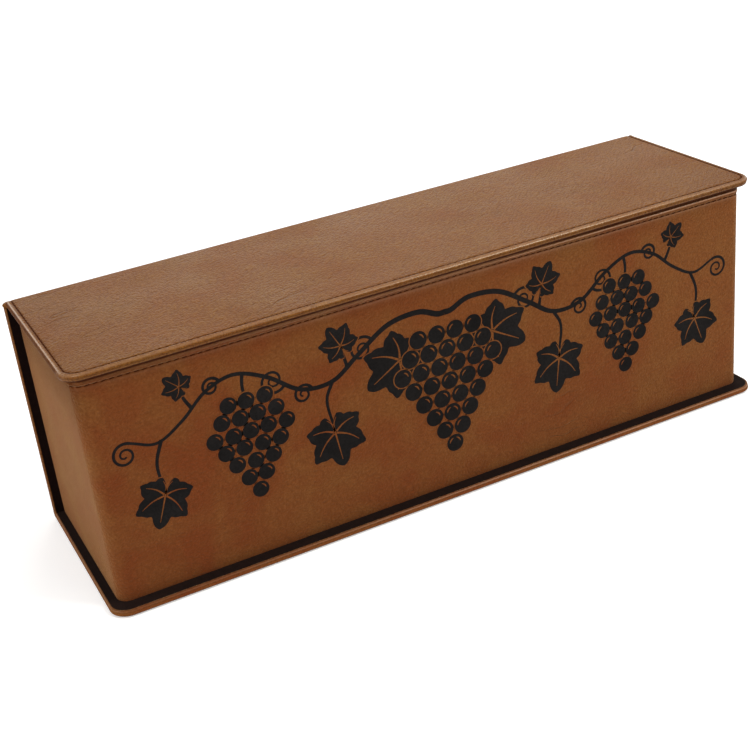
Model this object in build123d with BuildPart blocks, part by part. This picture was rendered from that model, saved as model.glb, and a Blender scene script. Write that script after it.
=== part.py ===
from build123d import *
import math
import os

# Wine gift box: a book style case of board and leatherette round a lined tray.
# X runs along the box, Y from the front to the spine at the back, Z up.
# The origin is the middle of the box's underside.

# Overall sizes of the case
case_length = 362.0
case_depth = 108.0
case_height = 120.0
case_corner = 9.0

# The lid is a little smaller than the base
lid_side_setback = 1.0
lid_setback = 3.0
lid_corner = 9.0

# Layers of every panel, from the outside in
leatherette_t = 0.8
board_t = 2.0
lining_t = 0.5
edge_wall = 1.0
edge_flat = 0.3

# Seams sewn near the edges of the case and below the rim of the tray
seam_inset = 3.0
rim_seam_drop = 5.4
groove_width = 0.8
groove_depth = 0.25
thread_width = 0.6
thread_t = 0.2
rim_seam_gap = 4.0

# Tray that stands on the base and holds the bottle
side_ledge = 5.0
front_ledge = 8.0
tray_corner = 6.0
wall_t = 5.0
floor_t = 2.0
rim_round = 0.9
flap_depth = 12.0

# Magnets that keep the lid shut
magnet_length = 20.0
magnet_spacing = 220.0
magnet_fit = 0.1
rim_magnet_width = 3.0
rim_magnet_t = 3.0
lid_magnet_width = 5.0
lid_magnet_t = 1.5

# Foam cradle with a recess in the shape of a bottle
cradle_fit = 0.3
cradle_end = 6.0
cradle_floor = 14.0
body_rest_height = 36.0
neck_rest_height = 52.0
neck_rest_start = 225.0
bottle_radius = 40.0
bottle_body = 205.0
shoulder_length = 50.0
neck_radius = 17.0
cradle_edge_round = 2.0

# Levels and lines that the sizes above give
panel_t = leatherette_t + board_t + lining_t
edge_round = (panel_t - edge_flat) / 2
lid_length = case_length - 2 * lid_side_setback
tray_length = case_length - 2 * side_ledge
case_front = -case_depth / 2
spine_back = case_depth / 2
fold_line = spine_back - panel_t
base_top = panel_t
lid_under = case_height - panel_t
lid_front = case_front + lid_setback
tray_front = case_front + front_ledge
tray_height = lid_under - base_top
wall_inset = leatherette_t
room_inset = wall_inset + wall_t
wall_top = lid_under - leatherette_t
floor_top = base_top + floor_t
seam_height = lid_under - rim_seam_drop
flap_end = lid_under - flap_depth
rim_seam_end = fold_line - rim_seam_gap


def three_sided(length, front, back, corner, inset, mode):
    # A panel's outline: its two front corners are round, its back runs straight at the line given
    side = length / 2 - inset
    near = front + inset
    with BuildLine() as line:
        FilletPolyline((side, back), (side, near), (-side, near), (-side, back), radius=corner - inset)
        Line((-side, back), (side, back))
    make_face(line.edges(), mode=mode)


def base_outline(inset=0.0, back=fold_line, mode=Mode.ADD):
    three_sided(case_length, case_front, back, case_corner, inset, mode)


def lid_outline(inset=0.0, back=fold_line, mode=Mode.ADD):
    three_sided(lid_length, lid_front, back, lid_corner, inset, mode)


def tray_outline(inset=0.0, back=fold_line, mode=Mode.ADD):
    three_sided(tray_length, tray_front, back, tray_corner, inset, mode)


def room_outline(inset, mode=Mode.ADD):
    # The room inside the walls has square corners
    with Locations((0, (tray_front + fold_line) / 2)):
        Rectangle(tray_length - 2 * inset, fold_line - tray_front - 2 * inset, mode=mode)


def fold_ring(outer, inner):
    # A quarter of a ring in the YZ plane, seen along the box, open towards the inside corner
    with BuildLine() as line:
        Line((inner, 0), (outer, 0))
        CenterArc((0, 0), outer, 0, 90)
        Line((0, outer), (0, inner))
        CenterArc((0, 0), inner, 0, 90)
    make_face(line.edges())


def outer_edges(faces):
    # The edges of flat faces that meet the air, without the one at the fold
    chosen = ShapeList()
    for face in faces:
        chosen += face.edges().sort_by(Axis.Y)[:-1]
    return chosen


# Base: leatherette underneath and round three edges, a board in it, black lining on top
with BuildPart() as base_wrap:
    with BuildSketch():
        base_outline()
    extrude(amount=panel_t)
    ends = base_wrap.faces().filter_by(Axis.Z)
    fillet(outer_edges(ends), radius=edge_round)
    with BuildSketch(Plane.XY.offset(leatherette_t)):
        base_outline(edge_wall)
    extrude(amount=panel_t, mode=Mode.SUBTRACT)
    with BuildSketch():
        base_outline(seam_inset - groove_width / 2)
        base_outline(seam_inset + groove_width / 2, mode=Mode.SUBTRACT)
    extrude(amount=groove_depth, mode=Mode.SUBTRACT)

with BuildPart() as base_thread:
    with BuildSketch(Plane.XY.offset(groove_depth - thread_t)):
        base_outline(seam_inset - thread_width / 2)
        base_outline(seam_inset + thread_width / 2, mode=Mode.SUBTRACT)
    extrude(amount=thread_t)

with BuildPart() as base_board:
    with BuildSketch(Plane.XY.offset(leatherette_t)):
        base_outline(edge_wall)
    extrude(amount=board_t)

with BuildPart() as base_lining:
    with BuildSketch(Plane.XY.offset(leatherette_t + board_t)):
        base_outline(edge_wall)
    extrude(amount=lining_t)

# Spine: the same layers standing up, open to the folds above and below.
# Its lining turns over the board's upper edge, into the hinge.
spine_plane = Plane.XZ.offset(-spine_back)
spine_seams = case_length - 2 * seam_inset


def spine_face(width, low, high):
    with Locations((0, low)):
        Rectangle(width, high - low, align=(Align.CENTER, Align.MIN))


def spine_seam_lines(width):
    with Locations((0, base_top)):
        with GridLocations(spine_seams, 0, 2, 1):
            Rectangle(width, tray_height, align=(Align.CENTER, Align.MIN))


with BuildPart() as spine_wrap:
    with BuildSketch(spine_plane):
        spine_face(case_length, base_top, lid_under)
    extrude(amount=panel_t)
    side_faces = spine_wrap.faces().filter_by(Axis.X)
    fillet(side_faces.edges().filter_by(Axis.Z), radius=edge_round)
    with BuildSketch(spine_plane.offset(leatherette_t)):
        spine_face(case_length - 2 * edge_wall, base_top, lid_under)
    extrude(amount=panel_t, mode=Mode.SUBTRACT)
    with BuildSketch(spine_plane):
        spine_seam_lines(groove_width)
    extrude(amount=groove_depth, mode=Mode.SUBTRACT)

with BuildPart() as spine_thread:
    with BuildSketch(spine_plane.offset(groove_depth - thread_t)):
        spine_seam_lines(thread_width)
    extrude(amount=thread_t)

with BuildPart() as spine_board:
    with BuildSketch(spine_plane.offset(leatherette_t)):
        spine_face(case_length - 2 * edge_wall, base_top, lid_under - lining_t)
    extrude(amount=board_t)

with BuildPart() as spine_lining:
    with BuildSketch(spine_plane.offset(leatherette_t + board_t)):
        spine_face(case_length - 2 * edge_wall, base_top, lid_under)
    extrude(amount=lining_t)
    with BuildSketch(spine_plane.offset(leatherette_t)):
        spine_face(case_length - 2 * edge_wall, lid_under - lining_t, lid_under)
    extrude(amount=board_t)

# Folds: the leatherette bends round the box's back corners, with a strip of cloth glued inside.
# A fold is drawn in a plane square to the box's length, with its centre on the inside corner.
cloth_inner = panel_t - leatherette_t - lining_t


def fold_plane(length, height, up):
    return Plane(origin=(-length / 2, fold_line, height), x_dir=(0, 1, 0), z_dir=(up, 0, 0))


with BuildPart() as bottom_fold:
    with BuildSketch(fold_plane(-case_length, base_top, -1)):
        fold_ring(panel_t, panel_t - leatherette_t)
    extrude(amount=case_length)

with BuildPart() as bottom_cloth:
    with BuildSketch(fold_plane(-case_length, base_top, -1)):
        fold_ring(panel_t - leatherette_t, cloth_inner)
    extrude(amount=case_length)

with BuildPart() as top_fold:
    with BuildSketch(fold_plane(lid_length, lid_under, 1)):
        fold_ring(panel_t, panel_t - leatherette_t)
    extrude(amount=lid_length)

with BuildPart() as hinge_cloth:
    with BuildSketch(fold_plane(lid_length, lid_under, 1)):
        fold_ring(panel_t - leatherette_t, cloth_inner)
    extrude(amount=lid_length)

# Lid: leatherette on top and round three edges, a board in it, and black lining underneath,
# which turns up over the board's back edge
magnet_y = tray_front + wall_inset + wall_t / 2
lid_board_back = fold_line - lining_t

with BuildPart() as lid_wrap:
    with BuildSketch(Plane.XY.offset(lid_under)):
        lid_outline()
    extrude(amount=panel_t)
    ends = lid_wrap.faces().filter_by(Axis.Z)
    fillet(outer_edges(ends), radius=edge_round)
    with BuildSketch(Plane.XY.offset(lid_under)):
        lid_outline(edge_wall)
    extrude(amount=board_t + lining_t, mode=Mode.SUBTRACT)
    with BuildSketch(Plane.XY.offset(case_height)):
        lid_outline(seam_inset - groove_width / 2)
        lid_outline(seam_inset + groove_width / 2, mode=Mode.SUBTRACT)
    extrude(amount=-groove_depth, mode=Mode.SUBTRACT)

with BuildPart() as lid_thread:
    with BuildSketch(Plane.XY.offset(case_height - groove_depth)):
        lid_outline(seam_inset - thread_width / 2)
        lid_outline(seam_inset + thread_width / 2, mode=Mode.SUBTRACT)
    extrude(amount=thread_t)

with BuildPart() as lid_board:
    with BuildSketch(Plane.XY.offset(lid_under + lining_t)):
        lid_outline(edge_wall, back=lid_board_back)
    extrude(amount=board_t)
    with BuildSketch(Plane.XY.offset(lid_under + lining_t)):
        with Locations((0, magnet_y)):
            with GridLocations(magnet_spacing, 0, 2, 1):
                Rectangle(magnet_length + 2 * magnet_fit, lid_magnet_width + 2 * magnet_fit)
    extrude(amount=lid_magnet_t, mode=Mode.SUBTRACT)

with BuildPart() as lid_magnets:
    with BuildSketch(Plane.XY.offset(lid_under + lining_t)):
        with Locations((0, magnet_y)):
            with GridLocations(magnet_spacing, 0, 2, 1):
                Rectangle(magnet_length, lid_magnet_width)
    extrude(amount=lid_magnet_t)

with BuildPart() as lid_lining:
    with BuildSketch(Plane.XY.offset(lid_under)):
        lid_outline(edge_wall)
    extrude(amount=lining_t)
    with BuildSketch(Plane.XY.offset(lid_under + lining_t)):
        with Locations((0, fold_line)):
            Rectangle(lid_length - 2 * edge_wall, lining_t, align=(Align.CENTER, Align.MAX))
    extrude(amount=board_t)

# Tray walls: boards joined at the corners, the front ones rounded outside
wall_height = wall_top - base_top
room_length = tray_length - 2 * room_inset
room_front = tray_front + room_inset
room_back = fold_line - room_inset
wall_back = fold_line - wall_inset

with BuildPart() as tray_front_wall:
    with BuildSketch(Plane.XY.offset(base_top)):
        tray_outline(wall_inset, back=wall_back)
        with Locations((0, room_front)):
            Rectangle(tray_length, wall_t, align=(Align.CENTER, Align.MAX), mode=Mode.INTERSECT)
    extrude(amount=wall_height)
    with BuildSketch(Plane.XY.offset(wall_top)):
        with Locations((0, magnet_y)):
            with GridLocations(magnet_spacing, 0, 2, 1):
                Rectangle(magnet_length + 2 * magnet_fit, rim_magnet_width + 2 * magnet_fit)
    extrude(amount=-rim_magnet_t, mode=Mode.SUBTRACT)

with BuildPart() as rim_magnets:
    with BuildSketch(Plane.XY.offset(wall_top - rim_magnet_t)):
        with Locations((0, magnet_y)):
            with GridLocations(magnet_spacing, 0, 2, 1):
                Rectangle(magnet_length, rim_magnet_width)
    extrude(amount=rim_magnet_t)

with BuildPart() as tray_back_wall:
    with BuildSketch(Plane.XY.offset(base_top)):
        with Locations((0, room_back)):
            Rectangle(tray_length - 2 * wall_inset, wall_t, align=(Align.CENTER, Align.MIN))
    extrude(amount=wall_height)

with BuildPart() as tray_left_wall:
    with BuildSketch(Plane.XY.offset(base_top)):
        tray_outline(wall_inset, back=wall_back)
        with Locations((-room_length / 2, room_front)):
            Rectangle(wall_t, room_back - room_front, align=(Align.MAX, Align.MIN), mode=Mode.INTERSECT)
    extrude(amount=wall_height)

with BuildPart() as tray_right_wall:
    with BuildSketch(Plane.XY.offset(base_top)):
        tray_outline(wall_inset, back=wall_back)
        with Locations((room_length / 2, room_front)):
            Rectangle(wall_t, room_back - room_front, align=(Align.MIN, Align.MIN), mode=Mode.INTERSECT)
    extrude(amount=wall_height)

with BuildPart() as tray_floor:
    with BuildSketch(Plane.XY.offset(base_top)):
        room_outline(room_inset)
    extrude(amount=floor_t)

# Tray leatherette: round the walls, over the rim and down the inside as a flap
with BuildPart() as tray_wrap:
    with BuildSketch(Plane.XY.offset(base_top)):
        tray_outline()
    extrude(amount=tray_height)
    top_edges = tray_wrap.faces().sort_by(Axis.Z)[-1].edges()
    fillet(top_edges.sort_by(Axis.Y)[:-1], radius=rim_round)
    with BuildSketch(Plane.XY.offset(base_top)):
        tray_outline(wall_inset, back=wall_back)
    extrude(amount=flap_end - base_top, mode=Mode.SUBTRACT)
    with BuildSketch(Plane.XY.offset(flap_end)):
        tray_outline(wall_inset, back=wall_back)
        room_outline(room_inset, mode=Mode.SUBTRACT)
    extrude(amount=wall_top - flap_end, mode=Mode.SUBTRACT)
    with BuildSketch(Plane.XY.offset(flap_end)):
        room_outline(room_inset + leatherette_t)
    extrude(amount=flap_depth, mode=Mode.SUBTRACT)
    with BuildSketch(Plane.XY.offset(seam_height - groove_width / 2)):
        tray_outline(-groove_depth, back=rim_seam_end)
        tray_outline(groove_depth, back=rim_seam_end, mode=Mode.SUBTRACT)
    extrude(amount=groove_width, mode=Mode.SUBTRACT)

with BuildPart() as rim_thread:
    with BuildSketch(Plane.XY.offset(seam_height - thread_width / 2)):
        tray_outline(groove_depth - thread_t, back=rim_seam_end)
        tray_outline(groove_depth, back=rim_seam_end, mode=Mode.SUBTRACT)
    extrude(amount=thread_width)

with BuildPart() as tray_lining:
    with BuildSketch(Plane.XY.offset(floor_top)):
        room_outline(room_inset)
        room_outline(room_inset + lining_t, mode=Mode.SUBTRACT)
    extrude(amount=flap_end - floor_top)

# Cradle: one block of flocked foam, high under the neck, cut to the shape of a lying bottle
cradle_inset = room_inset + lining_t + cradle_fit
cradle_left = cradle_inset - tray_length / 2
cradle_right = tray_length / 2 - cradle_inset
cradle_front = tray_front + cradle_inset
cradle_back = fold_line - cradle_inset
recess_start = cradle_left + cradle_end
body_end = recess_start + bottle_body
shoulder_end = body_end + shoulder_length
recess_end = cradle_right - cradle_end
step_x = cradle_left + neck_rest_start
bottle_middle = (cradle_front + cradle_back) / 2
bottle_height = floor_top + cradle_floor + bottle_radius
bottle_axis = Axis((0, bottle_middle, bottle_height), (1, 0, 0))

with BuildPart() as bottle_cradle:
    with BuildSketch(Plane.XZ.offset(-cradle_back)):
        with BuildLine():
            Polyline(
                (cradle_left, floor_top),
                (cradle_left, floor_top + body_rest_height),
                (step_x, floor_top + body_rest_height),
                (step_x, floor_top + neck_rest_height),
                (cradle_right, floor_top + neck_rest_height),
                (cradle_right, floor_top),
                close=True,
            )
        make_face()
    extrude(amount=cradle_back - cradle_front)
    upper_edges = bottle_cradle.edges().filter_by(Axis.X).sort_by(Axis.Z)[2:]
    fillet(upper_edges, radius=cradle_edge_round)
    with BuildSketch(Plane.XZ.offset(-bottle_middle)):
        with BuildLine():
            body_corner = (body_end, bottle_height - bottle_radius)
            neck_corner = (shoulder_end, bottle_height - neck_radius)
            Polyline(
                (recess_end, bottle_height),
                (recess_start, bottle_height),
                (recess_start, bottle_height - bottle_radius),
                body_corner,
            )
            Spline(body_corner, neck_corner, tangents=((1, 0), (1, 0)))
            Polyline(neck_corner, (recess_end, bottle_height - neck_radius), (recess_end, bottle_height))
        make_face()
    revolve(axis=bottle_axis, mode=Mode.SUBTRACT)

pieces = {
    "base_wrap": base_wrap,
    "base_thread": base_thread,
    "base_board": base_board,
    "base_lining": base_lining,
    "bottom_fold": bottom_fold,
    "bottom_cloth": bottom_cloth,
    "spine_wrap": spine_wrap,
    "spine_thread": spine_thread,
    "spine_board": spine_board,
    "spine_lining": spine_lining,
    "top_fold": top_fold,
    "hinge_cloth": hinge_cloth,
    "lid_wrap": lid_wrap,
    "lid_thread": lid_thread,
    "lid_board": lid_board,
    "lid_magnets": lid_magnets,
    "lid_lining": lid_lining,
    "tray_front_wall": tray_front_wall,
    "rim_magnets": rim_magnets,
    "tray_back_wall": tray_back_wall,
    "tray_left_wall": tray_left_wall,
    "tray_right_wall": tray_right_wall,
    "tray_floor": tray_floor,
    "tray_wrap": tray_wrap,
    "rim_thread": rim_thread,
    "tray_lining": tray_lining,
    "bottle_cradle": bottle_cradle,
}

# The lid turns about the middle of the cloth and leatherette in the top fold
fold_middle = panel_t - (leatherette_t + lining_t) / 2
hinge_offset = math.pi / 4 * fold_middle
print("lid hinge at y", round(fold_line + hinge_offset, 3), "z", round(lid_under + hinge_offset, 3))

os.makedirs("parts", exist_ok=True)
for name, piece in pieces.items():
    piece.part.label = name
    export_step(piece.part, "parts/" + name + ".step")
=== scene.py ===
import math
import random

import bmesh
import bpy
import numpy as np
from mathutils import Matrix, Vector


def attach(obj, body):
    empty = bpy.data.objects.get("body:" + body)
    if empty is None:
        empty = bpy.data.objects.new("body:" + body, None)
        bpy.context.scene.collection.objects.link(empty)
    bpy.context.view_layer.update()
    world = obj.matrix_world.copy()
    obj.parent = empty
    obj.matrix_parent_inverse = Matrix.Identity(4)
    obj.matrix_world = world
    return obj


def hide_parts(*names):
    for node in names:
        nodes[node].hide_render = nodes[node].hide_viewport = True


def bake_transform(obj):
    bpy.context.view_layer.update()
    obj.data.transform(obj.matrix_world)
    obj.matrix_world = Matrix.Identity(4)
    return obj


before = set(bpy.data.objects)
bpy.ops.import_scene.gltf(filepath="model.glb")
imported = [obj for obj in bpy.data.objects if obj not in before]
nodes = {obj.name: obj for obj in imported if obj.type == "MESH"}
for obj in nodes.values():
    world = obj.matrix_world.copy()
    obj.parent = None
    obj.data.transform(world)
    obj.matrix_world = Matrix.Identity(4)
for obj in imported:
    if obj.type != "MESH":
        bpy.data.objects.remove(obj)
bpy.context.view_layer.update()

scene = bpy.context.scene
mm = 0.001
print("frame loaded,", len(nodes), "nodes")

# The box in millimetres, as the frame has it: x along the box, y from the front to the spine, z up
box = {
    "halfLength": 181.0, "front": -54.0, "corner": 9.0,     # base panel
    "lidHalf": 180.0, "lidFront": -51.0,                    # lid panel
    "foldLine": 50.7, "baseTop": 3.3, "lidUnder": 116.7,    # inside corners of the case
    "trayHalf": 176.0, "trayFront": -46.0, "trayCorner": 6.0, "trayBackCorner": 1.2,
    "seamInset": 3.0, "rimSeam": 111.3, "tightest": 0.4,    # seams, and the leather's tightest bend
}


def smoothLine(points, steps):
    # a smooth line through given points
    pts = np.array(points, float)
    ends = np.vstack([2 * pts[0] - pts[1], pts, 2 * pts[-1] - pts[-2]])
    line = []
    for i in range(len(pts) - 1):
        a, b, c, d = ends[i:i + 4]
        for t in np.arange(steps) / steps:
            line.append(0.5 * (2 * b + (c - a) * t + (2 * a - 5 * b + 4 * c - d) * t ** 2
                               + (3 * b - a - 3 * c + d) * t ** 3))
    line.append(pts[-1])
    return np.array(line)


def bend(cx, cy, radius, start, end, count):
    a = np.radians(np.linspace(start, end, count + 1))[:-1]
    return np.column_stack([cx + radius * np.cos(a), cy + radius * np.sin(a)])


def run(p, q, count):
    return np.linspace(p, q, count + 1)[:-1]


def roundFront(side, near, r, back, counts):
    # from the back right, round both front corners, towards the back left
    sideCount, frontCount, bendCount = counts
    return [
        run((side, back), (side, near + r), sideCount),
        bend(side - r, near + r, r, 0, -90, bendCount),
        run((side - r, near), (r - side, near), frontCount),
        bend(r - side, near + r, r, -90, -180, bendCount),
        run((-side, near + r), (-side, back), sideCount),
    ]


def threeSides(half, front, back, corner, inset, counts):
    side, r = half - inset, max(corner - inset, box["tightest"])
    return np.vstack([*roundFront(side, front + inset, r, back, counts), [(-side, back)]])


def fourSides(half, front, back, corner, backCorner, inset, counts):
    # the same outline closed along the back
    side, far = half - inset, back - inset
    r, s = [max(bent - inset, box["tightest"]) for bent in (corner, backCorner)]
    sideCount, frontCount, bendCount = counts
    return np.vstack([
        *roundFront(side, front + inset, r, far - s, counts),
        bend(s - side, far - s, s, 180, 90, bendCount),
        run((s - side, far), (side - s, far), frontCount),
        bend(side - s, far - s, s, 90, 0, bendCount),
    ])


def gridFaces(rows, columns, closed=False, first=0):
    faces = []
    for j in range(rows - 1):
        for i in range(columns if closed else columns - 1):
            k = (i + 1) % columns
            faces.append((first + j * columns + i, first + j * columns + k,
                          first + (j + 1) * columns + k, first + (j + 1) * columns + i))
    return faces


def ramp(value, start, end, amount=1.0):
    # nothing at the start, the whole amount at the end, which may be the lesser
    return amount * np.clip((value - start) / (end - start), 0, 1)


def hump(value, middle, width, amount=1.0):
    # the whole amount at the middle, and less to both sides
    return amount * np.exp(-((value - middle) / width) ** 2)


def makePiece(name, points, faces, material, slot, body=None, stands=(), shine=None, shade=None):
    mesh = bpy.data.meshes.new(name)
    mesh.from_pydata([tuple(p) for p in np.asarray(points, float) * mm], [], faces)
    mesh.materials.append(material)
    for poly in mesh.polygons:
        poly.use_smooth = True
    for label, values in (("shine", shine), ("shade", shade)):
        if values is not None:
            layer = mesh.attributes.new(label, "FLOAT", "POINT")
            layer.data.foreach_set("value", np.clip(np.asarray(values, float), 0, 1).astype(np.float32))
    mesh.validate()
    piece = bpy.data.objects.new(name, mesh)
    scene.collection.objects.link(piece)
    if body:
        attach(piece, body)
    if stands:
        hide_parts(*stands)
    return piece


def weld(piece):
    # joins points that lie on each other, and turns every face outwards
    work = bmesh.new()
    work.from_mesh(piece.data)
    bmesh.ops.remove_doubles(work, verts=work.verts, dist=0.01 * mm)
    bmesh.ops.recalc_face_normals(work, faces=work.faces)
    work.to_mesh(piece.data)
    work.free()


def addNode(tree, kind, **settings):
    # nodes stand in columns of four, in the order of making
    place = len(tree.nodes)
    node = tree.nodes.new(kind)
    node.location = (220 * (place // 4), -260 * (place % 4))
    for key, value in settings.items():
        setattr(node, key, value)
    return node


def feed(tree, socket, value):
    # sets a number or a colour, or links another node's output
    if isinstance(value, (int, float)):
        socket.default_value = value
    elif isinstance(value, tuple):
        socket.default_value = (*value, 1)
    else:
        tree.links.new(value, socket)


def newGroup(name, inputs, outputs):
    tree = bpy.data.node_groups.new(name, "ShaderNodeTree")
    for label, kind, value in inputs:
        socket = tree.interface.new_socket(label, in_out="INPUT", socket_type="NodeSocket" + kind)
        if value is not None:
            socket.default_value = value
    for label, kind in outputs:
        tree.interface.new_socket(label, in_out="OUTPUT", socket_type="NodeSocket" + kind)
    given, out = addNode(tree, "NodeGroupInput"), addNode(tree, "NodeGroupOutput")
    out.location = (2000, 0)
    return tree, given.outputs, out.inputs


def mathNode(tree, operation, a, b=None, c=None, clamp=False):
    node = addNode(tree, "ShaderNodeMath", operation=operation, use_clamp=clamp)
    for socket, value in zip(node.inputs, (a, b, c)):
        if value is not None:
            feed(tree, socket, value)
    return node.outputs[0]


def mixColor(tree, factor, a, b):
    node = addNode(tree, "ShaderNodeMix", data_type="RGBA")
    for index, value in ((0, factor), (6, a), (7, b)):
        feed(tree, node.inputs[index], value)
    return node.outputs[2]


def noise(tree, vector, scale, detail=2.0, roughness=0.5, distortion=0.0, output="Fac"):
    node = addNode(tree, "ShaderNodeTexNoise")
    feed(tree, node.inputs["Vector"], vector)
    for label, value in (("Scale", scale), ("Detail", detail), ("Roughness", roughness),
                         ("Distortion", distortion)):
        node.inputs[label].default_value = value
    return node.outputs[output]


def spread(tree, value, low, high, newLow=0.0, newHigh=1.0):
    node = addNode(tree, "ShaderNodeMapRange")
    feed(tree, node.inputs[0], value)
    for index, number in ((1, low), (2, high), (3, newLow), (4, newHigh)):
        node.inputs[index].default_value = number
    return node.outputs[0]


def stretched(tree, vector, turn, stretch):
    node = addNode(tree, "ShaderNodeMapping", vector_type="TEXTURE")
    node.inputs["Rotation"].default_value = (0.0, 0.0, math.radians(turn))
    node.inputs["Scale"].default_value = (stretch, 1.0, 1.0)
    feed(tree, node.inputs["Vector"], vector)
    return node.outputs[0]


def scaled(tree, vector, scale):
    node = addNode(tree, "ShaderNodeVectorMath", operation="SCALE")
    feed(tree, node.inputs[0], vector)
    feed(tree, node.inputs["Scale"], scale)
    return node.outputs[0]


# Each noise has its scale per metre, detail, roughness and distortion; wanderReach is in metres
grainLook = {
    "wanderScale": 30.0, "wanderReach": 0.016,              # how the ripples stray from straight
    "ripples": (860.0, 2.5, 0.55), "rippleTurn": 45.0, "rippleStretch": 2.3, "pebbleDepth": -0.35,
    "fine": (1500.0, 2.0, 0.6), "fineDepth": 0.3,
    "creases": (110.0, 0.0, 0.4), "creaseTurn": 14.0, "creaseStretch": 14.0, "creaseWidth": 0.018,
    "creasePatches": (22.0, 1.0), "creaseEdges": (0.60, 0.70), "creaseDepth": -0.5,
    "valleyEdges": (0.59, 0.40), "poreEdges": (0.35, 0.75), "poreShade": 0.6,
}


def makeGrain():
    # pressed leather grain: fine pebbles under ripples that wander across the skin
    tree, given, out = newGroup("leatherGrain", [
        ("Position", "Vector", None), ("Pebble Scale", "Float", 900.0), ("Ripple Amount", "Float", 0.9)],
        [("Height", "Float"), ("Valleys", "Float"), ("Creases", "Float")])
    pos, amount = given["Position"], given["Ripple Amount"]
    shift = addNode(tree, "ShaderNodeVectorMath", operation="MULTIPLY_ADD")
    feed(tree, shift.inputs[0], noise(tree, pos, grainLook["wanderScale"], output="Color"))
    shift.inputs[1].default_value = [grainLook["wanderReach"]] * 3
    feed(tree, shift.inputs[2], pos)
    strayed = shift.outputs[0]
    turned = stretched(tree, strayed, grainLook["rippleTurn"], grainLook["rippleStretch"])
    ripples = noise(tree, turned, *grainLook["ripples"])
    pebbles = addNode(tree, "ShaderNodeTexVoronoi", feature="F1")
    feed(tree, pebbles.inputs["Vector"], pos)
    feed(tree, pebbles.inputs["Scale"], given["Pebble Scale"])
    distance = pebbles.outputs["Distance"]
    fine = noise(tree, pos, *grainLook["fine"])
    ripplePart = mathNode(tree, "MULTIPLY", ripples, amount)
    pebblePart = mathNode(tree, "MULTIPLY", distance, grainLook["pebbleDepth"])
    finePart = mathNode(tree, "MULTIPLY", fine, grainLook["fineDepth"])
    whole = mathNode(tree, "ADD", mathNode(tree, "ADD", ripplePart, pebblePart), finePart)
    # a few long shallow creases where the sheet was once bent
    drawnOut = stretched(tree, strayed, grainLook["creaseTurn"], grainLook["creaseStretch"])
    middle = mathNode(tree, "SUBTRACT", noise(tree, drawnOut, *grainLook["creases"]), 0.5)
    crease = spread(tree, mathNode(tree, "ABSOLUTE", middle), 0.0, grainLook["creaseWidth"], 1.0, 0.0)
    places = spread(tree, noise(tree, pos, *grainLook["creasePatches"]), *grainLook["creaseEdges"])
    creases = mathNode(tree, "MULTIPLY", mathNode(tree, "MULTIPLY", crease, places), amount)
    feed(tree, out["Height"], mathNode(tree, "MULTIPLY_ADD", creases, grainLook["creaseDepth"], whole))
    deep = mathNode(tree, "MULTIPLY", spread(tree, ripples, *grainLook["valleyEdges"]), amount)
    pores = mathNode(tree, "MULTIPLY", spread(tree, distance, *grainLook["poreEdges"]),
                     grainLook["poreShade"])
    feed(tree, out["Valleys"], mathNode(tree, "MAXIMUM", deep, pores))
    feed(tree, out["Creases"], creases)
    return tree


mottleLook = {
    "large": (17.0, 3.0, 0.55, 0.4), "redSpread": (0.36, 0.62, -0.5, 0.5),
    "small": (52.0, 2.0, 0.5, 0.3), "goldSpread": (0.35, 0.68, 0.0, 0.7),
    "speck": (1300.0, 3.0, 0.65), "speckSpread": (0.3, 0.7, 0.85, 1.15),
}


def makeMottle():
    # slow patches of colour, as in waxed leather: redder here, yellower there
    tree, given, out = newGroup("waxedMottle", [
        ("Position", "Vector", None), ("Base", "Color", (0.18, 0.07, 0.025, 1)),
        ("Red", "Color", (0.19, 0.055, 0.018, 1)), ("Gold", "Color", (0.2, 0.09, 0.03, 1)),
        ("Redness", "Float", 0.5), ("Gilding", "Float", 0.0)],
        [("Color", "Color"), ("Patch", "Float")])
    pos = given["Position"]
    large = noise(tree, pos, *mottleLook["large"])
    reds = spread(tree, large, *mottleLook["redSpread"])
    golds = spread(tree, noise(tree, pos, *mottleLook["small"]), *mottleLook["goldSpread"])
    tone = spread(tree, noise(tree, pos, *mottleLook["speck"]), *mottleLook["speckSpread"])
    redness = mathNode(tree, "ADD", reds, given["Redness"], clamp=True)
    gold = mathNode(tree, "ADD", golds, given["Gilding"], clamp=True)
    reddened = mixColor(tree, redness, given["Base"], given["Red"])
    gilded = mixColor(tree, gold, reddened, given["Gold"])
    feed(tree, out["Color"], scaled(tree, gilded, tone))
    feed(tree, out["Patch"], large)
    return tree


weaveLook = {"threadDepth": 0.25, "uneven": (350.0, 3.0), "unevenEdges": (0.3, 0.7)}


def makeWeave():
    # plain woven cloth: two sets of threads that cross
    tree, given, out = newGroup("plainWeave", [("Position", "Vector", None), ("Threads", "Float", 2400.0)],
                                [("Height", "Float"), ("Shade", "Float")])
    parts = addNode(tree, "ShaderNodeSeparateXYZ")
    feed(tree, parts.inputs[0], scaled(tree, given["Position"], given["Threads"]))
    x, y, z = [mathNode(tree, "SINE", part) for part in parts.outputs]
    crossed = mathNode(tree, "ADD", mathNode(tree, "MULTIPLY", x, y), mathNode(tree, "MULTIPLY", y, z))
    whole = mathNode(tree, "ADD", crossed, mathNode(tree, "MULTIPLY", x, z))
    uneven = noise(tree, given["Position"], *weaveLook["uneven"])
    raised = mathNode(tree, "MULTIPLY", whole, weaveLook["threadDepth"])
    feed(tree, out["Height"], mathNode(tree, "ADD", raised, uneven))
    feed(tree, out["Shade"], spread(tree, uneven, *weaveLook["unevenEdges"]))
    return tree


grain = makeGrain()
mottle = makeMottle()
weave = makeWeave()


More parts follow.
